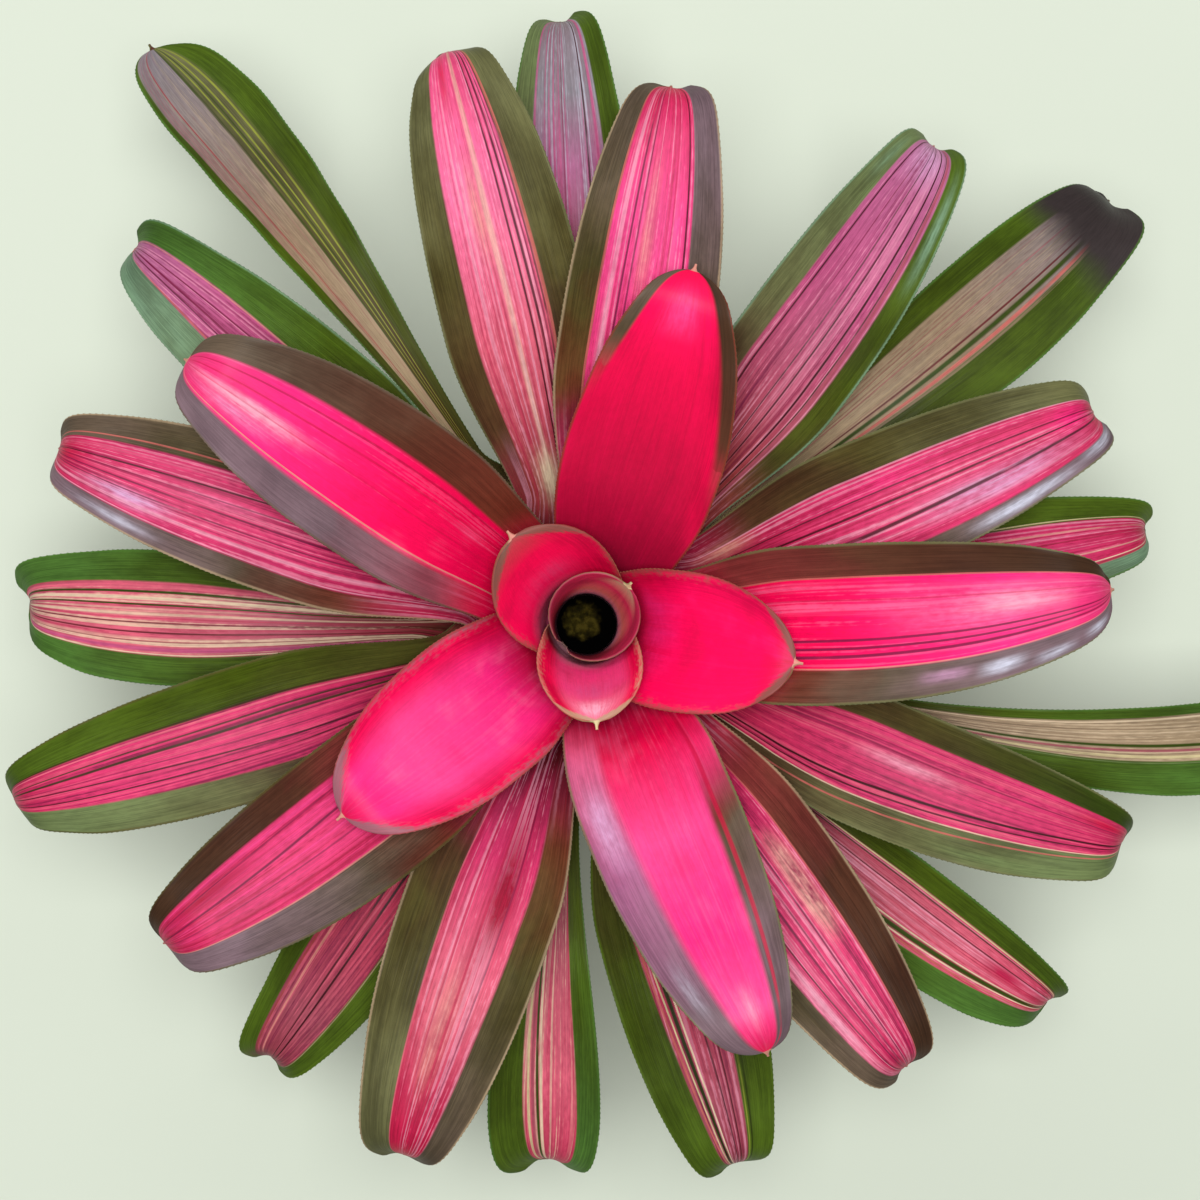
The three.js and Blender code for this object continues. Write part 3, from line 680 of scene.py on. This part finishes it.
        edgeLines=[("coral", -0.38, -0.4, 0.016), ("inkRed", -0.44, -0.48, 0.014, 0.7)]),
    leafOf(stripedLook, "mauve", 51.5, 219, 50, 0.5, 62, sweep=2.5, ears=(3.5, 6),
        streaks=("petal", "plum", 0.4, 0.5, 0.1), rim="seaGreen",
        patches=[("lilac", 0.95, 0, 0.08, 0.7, 0.9)],
        bands=[(1, "moss", 0.6, 0.6, 0.3), (-1, "green", 0.66, 0.66, 0.25)],
        lines=[("inkRed", 0.5, 0.46), ("inkRed", -0.02, -0.02, 0.012, 0.8), ("inkRed", -0.2, -0.16),
            ("plum", 0.22, 0.2, 0.01, 0.8), ("inkRed", -0.43, -0.38, 0.016, 1)],
        edgeLines=[("dustyRose", -0.6, -0.58, 0.03), ("walnut", -0.55, -0.53, 0.012)],
        sheens=[("seaGreen", 0.84, -0.84, 0.12, 0.14), ("seaGreen", 0.9, 0.8, 0.06, 0.16, 0.5)]),
    leafOf(stripedLook, "wine", -74.6, 208.5, 54, 0.5, 68, ears=(1.5, 3),
        streaks=("petal", "plum", 0.4, 0.55, 0.1), rim="leafGreen",
        bands=[(1, "green", 0.46, 0.42), (-1, "green", 0.62, 0.3, 0.25)],
        lines=[("inkRed", 0.2, 0.25, 0.014, 0.8), ("inkRed", 0, 0.14, 0.014, 0.8), ("cream", -0.36, -0.04)],
        edgeLines=[("inkGreen", -0.44, -0.1, 0.03, 1), ("bone", -0.52, -0.16, 0.012),
            ("salmon", -0.6, -0.22, 0.016), ("lime", 0.52, 0.46, 0.012, 0.8),
            ("inkGreen", 0.57, 0.52, 0.016, 0.8)]),
    leafOf(stripedLook, "mauve", 140.3, 219.3, 48, 0.5, 62, ears=(-1, 8),
        streaks=("petal", "plum", 0.4, 0.5, 0.1), rim="seaGreen",
        bands=[(1, "sage", 0.6, 0.3), (-1, "fern", 0.26, 0.5)],
        lines=[("plum", 0.2, 0.02, 0.02), ("plum", -0.1, -0.12), ("inkRed", 0.36, 0.12, 0.012, 0.7)],
        edgeLines=[("salmon", 0.56, 0.28, 0.014, 0.8), ("peach", -0.28, -0.46, 0.012, 0.7)]),
    leafOf(greenLook, "berry", 9.5, 212.5, 42, 0.5, 62, ears=(6, 1),
        streaks=("petal", "cherry", 0.5, 0.5, 0.1),
        bands=[(1, "green", 0.36, 0.5), (-1, "sage", 0.65, 0.6)],
        lines=[("cream", 0.2, 0.28, 0.02, 0.4), ("cream", -0.3, -0.28, 0.02, 0.4),
            ("cherry", 0.04, 0.06, 0.014, 0.8)],
        edgeLines=[("cream", -0.56, -0.52), ("rust", -0.62, -0.57, 0.012, 0.8),
            ("bone", 0.4, 0.54, 0.012, 0.8)]),
    leafOf(greenLook, "wine", -126, 202, 46, 0.5, 68, ears=(3, 8),
        streaks=("coral", "plum", 0.4, 0.55, 0.1), rim="leafGreen",
        bands=[(1, "green", 0.42, 0.6), (-1, "green", 0.65, 0.65)],
        lines=[("inkRed", 0, 0.15, 0.02, 1), ("inkRed", -0.15, 0, 0.018),
            ("peach", -0.5, -0.42, 0.02, 0.7)],
        edgeLines=[("brick", -0.6, -0.6, 0.02, 0.8), ("sand", 0.45, 0.62, 0.01, 0.7)],
        sheens=[("oxblood", 0.975, -0.6, 0.03, 0.5)]),
    leafOf(greenLook, "ash", 91.7, 227.4, 46, 0.5, 62, sweep=0.8, ears=(1, 7),
        streaks=("mist", "orchid", 0.4, 0.6, 0.15), rim="fern",
        bands=[(1, "moss", 0.68, 0.62), (-1, "green", 0.62, 0.6)],
        lines=[("inkRed", -0.3, -0.36, 0.016), ("orchid", -0.5, -0.52, 0.03, 0.8),
            ("plum", 0.1, 0.08, 0.012, 0.6)], edgeLines=[("orchid", 0.64, 0.6, 0.02, 0.6)]),
    leafOf(greenLook, "blossom", -44, 225.8, 40, 0.48, 62, sweep=4.5, widest=0.62, ears=(4, -1),
        streaks=("petal", "cherry", 0.45, 0.5, 0.15), patches=[("carmine", 0.87, 0.15, 0.06, 0.25)],
        bands=[(1, "green", 0.58, 0.6), (-1, "fern", 0.7, 0.36)],
        lines=[("oxblood", 0.28, 0.3), ("cherry", 0.1, 0.1, 0.012, 0.7)],
        edgeLines=[("walnut", 0.5, 0.5, 0.016), ("bone", 0.57, 0.57), ("cream", -0.34, -0.1),
            ("forest", -0.45, -0.16, 0.05, 1), ("cream", -0.54, -0.22), ("salmon", -0.62, -0.3, 0.02)]),
    leafOf(greenLook, "ribbon", 180, 212, 50, 0.5, 60, sweep=-2, widest=0.65, ears=(-2, 9),
        streaks=("cream", "carmine", 0.55, 0.45, 0.12),
        bands=[(1, "fern", 0.6, 0.56), (-1, "fern", 0.5, 0.56)],
        lines=[("orchid", 0.5, 0.48, 0.03, 0.8), ("oxblood", 0.25, 0.22),
            ("oxblood", 0.1, 0.08, 0.012, 0.8), ("maroon", 0.38, 0.36, 0.01, 0.7),
            ("cream", -0.04, -0.05, 0.02, 0.6)],
        edgeLines=[("forest", -0.16, -0.2, 0.014, 1), ("cream", -0.25, -0.3, 0.03),
            ("forest", -0.35, -0.4, 0.02, 1), ("coral", -0.43, -0.48, 0.03),
            ("cream", 0.58, 0.55, 0.01, 0.8)]),
    leafOf(greenLook, "fawn", 36, 256, 48, 0.45, 56, sweep=3, widest=0.65, ears=(-4, 8),
        streaks=("sand", "maroon", 0.35, 0.4, 0.2), scorch=0.82,
        bands=[(1, "green", 0.66, 0.6), (-1, "green", 0.3, 0.3)],
        lines=[("oxblood", 0, -0.04, 0.016), ("dustyRose", 0.3, 0.3, 0.012, 0.5)],
        edgeLines=[("forest", -0.12, -0.15, 0.04, 1), ("salmon", -0.24, -0.27, 0.03),
            ("taupe", -0.32, -0.34, 0.02, 0.7)]),
    leafOf(greenLook, "blossom", -96.7, 205.6, 42, 0.25, 60, sweep=2.5, widest=0.82, ears=(3, 6),
        streaks=("cream", "carmine", 0.5, 0.5, 0.15),
        bands=[(1, "fern", 0.46, 0.64), (-1, "green", 0.56, 0.34)],
        edgeLines=[("cream", -0.2, -0.02, 0.024), ("forest", -0.28, -0.08, 0.026, 1),
            ("dustyRose", -0.37, -0.16, 0.03), ("bone", -0.46, -0.24, 0.024),
            ("carmine", 0.44, 0.6, 0.02, 0.6)]),
    leafOf(greenLook, "fawn", 124.6, 275, 38, 0.22, 15, sweep=2.5, widest=0.82, roll=18,
        streaks=("sand", "dustyRose", 0.3, 0.4, 0.3),
        bands=[(1, "green", 0.66, 0.94), (-1, "olive", 0.02, 0.02), (-1, "green", 0.5, 0.5, 0.1, 0.06)],
        edgeLines=[("brick", 0.52, 0.58, 0.014, 0.8), ("forest", -0.03, -0.03, 0.03, 0.8),
            ("lime", -0.14, -0.16, 0.016, 0.8), ("forest", -0.2, -0.22, 0.016, 0.8),
            ("lime", -0.28, -0.3, 0.016), ("lime", -0.43, -0.45, 0.02)]),
    leafOf(greenLook, "straw", -17.5, 276, 36, 0.22, 52, sweep=9.7, widest=0.85, ears=(2, 2),
        streaks=("cream", "mocha", 0.4, 0.45, 0.15),
        bands=[(1, "fern", 0.66, 0.84), (-1, "fern", 0.2, 0.32)],
        edgeLines=[("cream", 0.6, 0.78, 0.02), ("forest", 0.12, 0.06, 0.035, 1),
            ("dustyRose", 0.02, -0.06, 0.03, 0.8), ("bone", -0.1, -0.22, 0.03),
            ("sage", -0.24, -0.36, 0.012, 0.8)]),
]

seedStep = 1.37
for rank, leaf in enumerate(leaves, 1):
    node = f"leaf_{rank:02d}"
    slot = "young_leaf" if rank <= 7 else "middle_leaf" if rank <= 16 else "old_leaf"
    piece = makeLeaf(leaf, rank)
    place(piece, f"fine_{node}", slot, leafFinish(f"leafFinish{rank:02d}", leaf, rank * seedStep), node)
print("leaves:", len(leaves))


# a turned body from [radius, height] corners: a grid rolled about +Z, its seam and poles closed
def turned(profile, sides):
    bpy.ops.mesh.primitive_grid_add(x_subdivisions=sides, y_subdivisions=len(profile) - 1, size=1)
    piece = bpy.context.object
    for vertex in piece.data.vertices:
        radius, height = profile[round((vertex.co.y + 0.5) * (len(profile) - 1))]
        angle = 2 * math.pi * round((vertex.co.x + 0.5) * sides) / sides
        vertex.co = (radius * math.cos(angle), radius * math.sin(angle), height)
    activate(piece)
    bpy.ops.object.mode_set(mode="EDIT")
    bpy.ops.mesh.select_all(action="SELECT")
    bpy.ops.mesh.remove_doubles(threshold=0.00001)
    bpy.ops.mesh.normals_make_consistent(inside=False)
    bpy.ops.object.mode_set(mode="OBJECT")
    bpy.ops.object.shade_smooth_by_angle(angle=math.radians(40))
    return piece


pot = {
    "height": 0.105, "topRadius": 0.060, "baseRadius": 0.044, "wall": 0.0024, "rimHeight": 0.014,
    "rimOut": 0.003, "floorUnder": 0.0025, "floorThickness": 0.003, "footWidth": 0.004, "bossRadius": 0.016,
    "rounding": 0.0004,
    "holeRadius": 0.0045, "holeCircle": 0.028, "holes": 6, "drill": 0.012, "sides": 96,
}


def potOuter(z):
    return pot["baseRadius"] + (pot["topRadius"] - pot["baseRadius"]) * z / pot["height"]


def makePot():
    under = pot["floorUnder"]
    top = pot["height"]
    floorTop = under + pot["floorThickness"]
    rim = top - pot["rimHeight"]
    lip = potOuter(rim)
    boss = pot["bossRadius"]
    foot = pot["baseRadius"]
    inner = foot - pot["footWidth"]
    wall = pot["wall"]
    out = pot["topRadius"] + pot["rimOut"]
    mouth = pot["topRadius"] - wall
    edge = pot["rounding"]
    # from the middle of the base out over the foot, up to the rolled rim and down inside to the floor
    profile = [
        (0, 0), (boss - edge, 0), (boss, edge), (boss, under), (inner, under), (inner, edge),
        (inner + edge, 0), (foot - 0.0006, 0), (foot + 0.0001, 0.0008), (potOuter(0.03), 0.03),
        (potOuter(0.06), 0.06), (lip - 0.0002, rim - edge), (lip + edge, rim),
        (lip + pot["rimOut"] - 0.0008, rim + 0.0003), (lip + pot["rimOut"], rim + 0.0012),
        (out, top - 0.0018), (out - 0.0007, top - 0.0005), (out - 0.0018, top), (mouth + 0.0008, top),
        (mouth, top - 0.0008), (potOuter(0.05) - wall, 0.05),
        (potOuter(floorTop) - wall - 0.001, floorTop + edge), (potOuter(floorTop) - wall - 0.002, floorTop),
        (0, floorTop)]
    piece = turned(profile, pot["sides"])
    for i in range(pot["holes"]):
        angle = 2 * math.pi * i / pot["holes"]
        x = pot["holeCircle"] * math.cos(angle)
        y = pot["holeCircle"] * math.sin(angle)
        bpy.ops.mesh.primitive_cylinder_add(
            vertices=32, radius=pot["holeRadius"], depth=pot["drill"], location=(x, y, floorTop))
        drill = bpy.context.object
        cut = piece.modifiers.new("hole", "BOOLEAN")
        cut.operation = "DIFFERENCE"
        cut.object = drill
        applyModifiers(piece)
        bpy.data.objects.remove(drill)
    return piece


def potFinish():
    finish = Finish("potPlastic", Specular_IOR_Level=0.45, Coat_Roughness=0.25)
    place = finish.objectPlace()
    cloud = finish.noise(place, 60, 4)
    dust = finish.rise(finish.noise(place, 14, 5, 0.65), 0.45, 0.7)
    height = finish.part(place, 2)
    splash = finish.rise(height + cloud * 0.02, 0.035, 0.005)
    colour = finish.blend(cloud, "#2c2f31", "#35393b")
    colour = finish.blend(dust * 0.25 + splash * 0.3, colour, "#6b6558")
    finish.wear(Base_Color=colour, Roughness=0.5 + dust * 0.2)
    finish.bump(finish.noise(place, 900, 2), 0.0002, 0.3)
    return finish


place(makePot(), "fine_pot", "pot", potFinish(), "pot")
print("pot")

mix = {
    "top": 0.097, "mound": 0.0035, "socket": 0.0123, "socketFloor": 0.0697, "gap": 0.0003, "grain": 0.0009,
    "rings": 16, "sides": 96, "flatEdge": 0.0005,
    "chips": 420, "chipSize": (0.0035, 0.008), "chipForm": (0.6, 0.3), "chipSpread": (0.09, 0.86),
    "chipTilt": 0.35,
}


def mixEdge():
    return potOuter(mix["top"]) - pot["wall"]


def mixHeight(x, y):
    r = math.hypot(x, y)
    # three crossing waves make its crumbly surface
    waves = math.sin(900 * x) * math.cos(800 * y) + math.sin(370 * x - 510 * y)
    waves += 0.6 * math.sin(1700 * x + 1300 * y)
    return mix["top"] + mix["mound"] * (1 - (r / mixEdge()) ** 2) + mix["grain"] * waves


def makeMix():
    bottom = pot["floorUnder"] + pot["floorThickness"] + mix["gap"]
    edge = mixEdge() - mix["gap"]
    socket = mix["socket"]
    top = mix["top"]
    flat = mix["flatEdge"]
    profile = [(0, bottom), (potOuter(bottom) - pot["wall"] - 0.002, bottom), (edge, top - 0.001)]
    for i in range(mix["rings"] + 1):
        profile.append((edge + (socket - edge) * i / mix["rings"], top))
    profile += [(socket, mix["socketFloor"]), (0, mix["socketFloor"])]
    piece = turned(profile, mix["sides"])
    for vertex in piece.data.vertices:
        r = math.hypot(vertex.co.x, vertex.co.y)
        if vertex.co.z > top - flat and socket + flat < r < edge - flat:
            vertex.co.z = mixHeight(vertex.co.x, vertex.co.y)
    return piece


def makeChip():
    # one bark chip, a broken flat block about 1 long
    bpy.ops.mesh.primitive_cube_add(size=1)
    chip = bpy.context.object
    bpy.ops.object.mode_set(mode="EDIT")
    bpy.ops.mesh.subdivide(number_cuts=1, fractal=0.5, seed=4)
    bpy.ops.object.mode_set(mode="OBJECT")
    for vertex in chip.data.vertices:
        vertex.co.y *= mix["chipForm"][0]
        vertex.co.z *= mix["chipForm"][1]
    return chip


def scatterChips():
    draw = random.Random(7)
    pattern = makeChip()
    copies = []
    tilt = mix["chipTilt"]
    for _ in range(mix["chips"]):
        r = mixEdge() * math.sqrt(draw.uniform(*mix["chipSpread"]))
        angle = draw.uniform(0, 2 * math.pi)
        size = draw.uniform(*mix["chipSize"])
        copy = pattern.copy()
        copy.data = pattern.data.copy()
        bpy.context.collection.objects.link(copy)
        x = r * math.cos(angle)
        y = r * math.sin(angle)
        copy.location = (x, y, mixHeight(x, y))
        copy.rotation_euler = (draw.gauss(0, tilt), draw.gauss(0, tilt), draw.uniform(0, 6.28))
        copy.scale = (size, size, size)
        copies.append(copy)
    bpy.data.objects.remove(pattern)
    bpy.ops.object.select_all(action="DESELECT")
    for copy in copies:
        copy.select_set(True)
    bpy.context.view_layer.objects.active = copies[0]
    bpy.ops.object.join()
    bpy.ops.object.transform_apply(location=True, rotation=True, scale=True)
    return bpy.context.object


def mixFinish(name, low, middle, high):
    finish = Finish(name, Specular_IOR_Level=0.3)
    place = finish.objectPlace()
    coarse = finish.noise(place, 220, 5, 0.7)
    colour = finish.ramp(coarse, [(0.3, low), (0.5, middle), (0.68, high)])
    finish.wear(Base_Color=colour, Roughness=0.85 + coarse * 0.12)
    finish.bump(finish.noise(place, 700, 4, 0.7), 0.0008, 0.7)
    return finish


crumb = mixFinish("pottingMix", "#1d130c", "#3a281b", "#5c4630")
place(makeMix(), "fine_potting_mix", "potting_mix", crumb, "potting_mix")
bark = mixFinish("barkChips", "#2b1a10", "#5a3a22", "#8a6844")
place(scatterChips(), "bark_chips", "potting_mix", bark)
print("potting mix")

stem = {
    "bottom": 0.070, "top": 0.152, "shoulder": 0.002, "shoulderSlope": 0.7, "scarPitch": 0.0016,
    "scarDepth": 0.00035, "rows": 150, "sides": 48, "greenFrom": (0.095, 0.125),
}


def makeStem():
    rows = stem["rows"]
    profile = [(0, stem["bottom"])]
    for i in range(rows + 1):
        z = stem["bottom"] + (stem["top"] - stem["bottom"]) * i / rows
        ends = min(z - stem["bottom"], stem["top"] - z)
        radius = along(rosette["stemRadius"], z) - max(0, stem["shoulder"] - ends) * stem["shoulderSlope"]
        scar = abs(math.sin(math.pi * (z - stem["bottom"]) / stem["scarPitch"] / 2))
        profile.append((radius - stem["scarDepth"] * scar, z))
    profile.append((0, stem["top"]))
    return turned(profile, stem["sides"])


def stemFinish():
    finish = Finish("stemBark", Specular_IOR_Level=0.3)
    place = finish.objectPlace()
    patches = finish.noise(place, 180, 4, 0.6)
    height = finish.part(place, 2)
    green = finish.rise(height, *stem["greenFrom"])
    old = finish.ramp(patches, [(0.3, "#4a3a26"), (0.7, "#8a7450")])
    young = finish.ramp(patches, [(0.3, "#7c8250"), (0.7, "#b4b084")])
    finish.wear(Base_Color=finish.blend(green, old, young), Roughness=0.6 + patches * 0.2)
    finish.bump(finish.noise(place, 700, 3), 0.0004, 0.5)
    return finish


place(makeStem(), "fine_stem", "stem", stemFinish(), "stem")
print("stem")

tank = {
    "top": 0.174, "clearance": 0.0012, "meniscus": 0.0007, "meniscusWidth": 0.0022, "rings": 14, "sides": 64,
    "debrisAt": (0.0014, -0.0012), "debrisSpan": (0.0078, 0.0045),
}


def makeWater():
    midrib = midribOf(leaves[0], 1)
    bottom = stem["top"] + rosette["seatGap"]
    rings = tank["rings"]
    heights = np.linspace(bottom + 0.001, tank["top"], rings)
    profile = [(0, bottom)]
    for z in heights:
        profile.append((float(np.interp(z, midrib["z"], midrib["r"])) - tank["clearance"], float(z)))
    edge = profile[-1][0]
    for i in range(1, rings + 1):
        r = edge * (1 - i / rings)
        lift = tank["meniscus"] * max(0, 1 - (edge - r) / tank["meniscusWidth"]) ** 2
        profile.append((r, tank["top"] - tank["meniscus"] + lift))
    return turned(profile, tank["sides"])


def waterFinish():
    # tank water, its near-black colour painted shade for the dark depth of the tank, with a drift of fine
    # plant debris a little off the middle
    finish = Finish("tankWater", Roughness=0.4, Specular_IOR_Level=0.0)
    place = finish.objectPlace()
    centred = finish.node("ShaderNodeMapping", {"vector_type": "POINT"}, {
        "Vector": place, "Location": (*tank["debrisAt"], -tank["top"])})
    away = finish.node("ShaderNodeVectorMath", {"operation": "LENGTH"}, {0: centred}, 1)
    specks = finish.noise(place, 420, 3, 0.55)
    drift = finish.rise(away + (finish.noise(place, 320, 3) - 0.5) * 0.005, *tank["debrisSpan"])
    debris = finish.ramp(specks, [(0.36, "#141206"), (0.5, "#242008"), (0.64, "#383210")])
    finish.wear(Base_Color=finish.blend(drift, "#020202", debris))
    return finish


place(makeWater(), "fine_tank_water", "tank_water", waterFinish(), "tank_water")
print("tank water")

studio = {
    "floor": "#d0d8c8", "floorClouds": "#d8e0d0", "floorSize": 8, "sky": 0.32,
    "lamps": [
        {"name": "overhead", "at": (0.0, 0.06, 2.4), "size": 0.8, "power": 44},
        {"name": "window", "at": (-0.3, 1.5, 1.3), "size": 1.1, "power": 8},
    ],
    "target": (0, 0, 0.15),
}


def makeFloor():
    bpy.ops.mesh.primitive_plane_add(size=studio["floorSize"])
    floor = bpy.context.object
    floor.name = "studio_floor"
    finish = Finish("studioFloor", Roughness=0.8, Specular_IOR_Level=0.2)
    clouds = finish.noise(finish.objectPlace(), 3, 3)
    finish.wear(Base_Color=finish.blend(clouds, studio["floor"], studio["floorClouds"]))
    floor.data.materials.append(finish.material)


def makeLamps():
    for lamp in studio["lamps"]:
        bpy.ops.object.light_add(type="AREA", location=lamp["at"])
        light = bpy.context.object
        light.name = lamp["name"]
        light.data.size = lamp["size"]
        light.data.energy = lamp["power"]
        x, y, z = (t - a for t, a in zip(studio["target"], lamp["at"]))
        light.rotation_euler = (math.atan2(math.hypot(x, y), -z), 0, math.atan2(-x, y))
    world = bpy.data.worlds.new("sky")
    world.use_nodes = True
    light = world.node_tree.nodes["Background"].inputs
    light["Color"].default_value = (1, 1, 1, 1)
    light["Strength"].default_value = studio["sky"]
    bpy.context.scene.world = world


camera = {"at": (0.00504, 0.009, 1.3), "seenWidth": 0.432, "seenHeight": 0.2, "sensor": 36}


def makeCamera():
    # looks straight down, with the seen width measured at the height of the upper leaves
    bpy.ops.object.camera_add(location=camera["at"], rotation=(0, 0, 0))
    eye = bpy.context.object
    eye.name = "camera"
    eye.data.sensor_width = camera["sensor"]
    eye.data.lens = camera["sensor"] * (camera["at"][2] - camera["seenHeight"]) / camera["seenWidth"]
    bpy.context.scene.camera = eye


makeFloor()
makeLamps()
makeCamera()
bpy.context.scene.view_settings.view_transform = "Standard"
print("studio")
